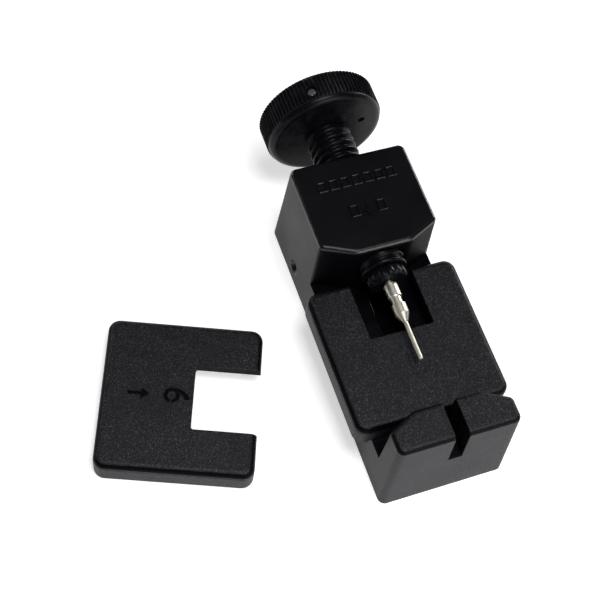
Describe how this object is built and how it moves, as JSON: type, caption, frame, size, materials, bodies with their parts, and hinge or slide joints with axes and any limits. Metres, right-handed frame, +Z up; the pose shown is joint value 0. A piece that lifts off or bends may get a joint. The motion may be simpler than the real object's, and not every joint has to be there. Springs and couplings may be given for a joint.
{
  "type": "watch bracelet link pin pusher",
  "caption": "Black moulded screw press that pushes link pins out of watch bracelets, with a fitted and a spare U-shaped height plate.",
  "frame": {"origin": "middle of the body's flat underside, on the bench", "axes": "+Y along the tool from the anvil towards the knob, +Z up, +X to the right seen from the anvil"},
  "size_m": [0.0817, 0.0831, 0.0317],
  "materials": {
    "body_black": "fine spark-eroded grain on the upward faces, satin on the sides",
    "screw_black": "satin moulded plastic",
    "nickel": "bright nickel",
    "steel": "bright steel"
  },
  "bodies": {
    "frame": {"frame_body": "body_black"},
    "pusher": {"push_pin_holder": "nickel", "push_pin_needle": "nickel"},
    "screw": {"screw_spindle": "screw_black", "knurled_knob": "screw_black", "knob_fixing_pin": "steel", "nose_ferrule": "screw_black"},
    "fitted_plate": {"height_plate_fitted": "body_black"},
    "spare_plate": {"height_plate_spare": "body_black"}
  },
  "joints": [
    {"name": "screw_advance", "type": "slide", "parent": "frame", "child": "pusher", "axis": [0, -1, 0], "range_m": [-0.01, 0.0088]},
    {"name": "screw_turn", "type": "hinge", "parent": "pusher", "child": "screw", "pos_m": [0, 0.0423, 0.01878], "axis": [0, -1, 0], "range_deg": [-2060, 1815]},
    {"name": "fitted_plate_lift", "type": "slide", "parent": "frame", "child": "fitted_plate", "axis": [0, 0, 1], "range_m": [0, 0.0011]},
    {"name": "spare_plate_lift", "type": "slide", "parent": "frame", "child": "spare_plate", "axis": [0, 0, 1], "range_m": [0, 0.03]}
  ],
  "couplings": [
    {"joint": "screw_turn", "follows": "screw_advance", "rad_per_m": 3590.4}
  ]
}
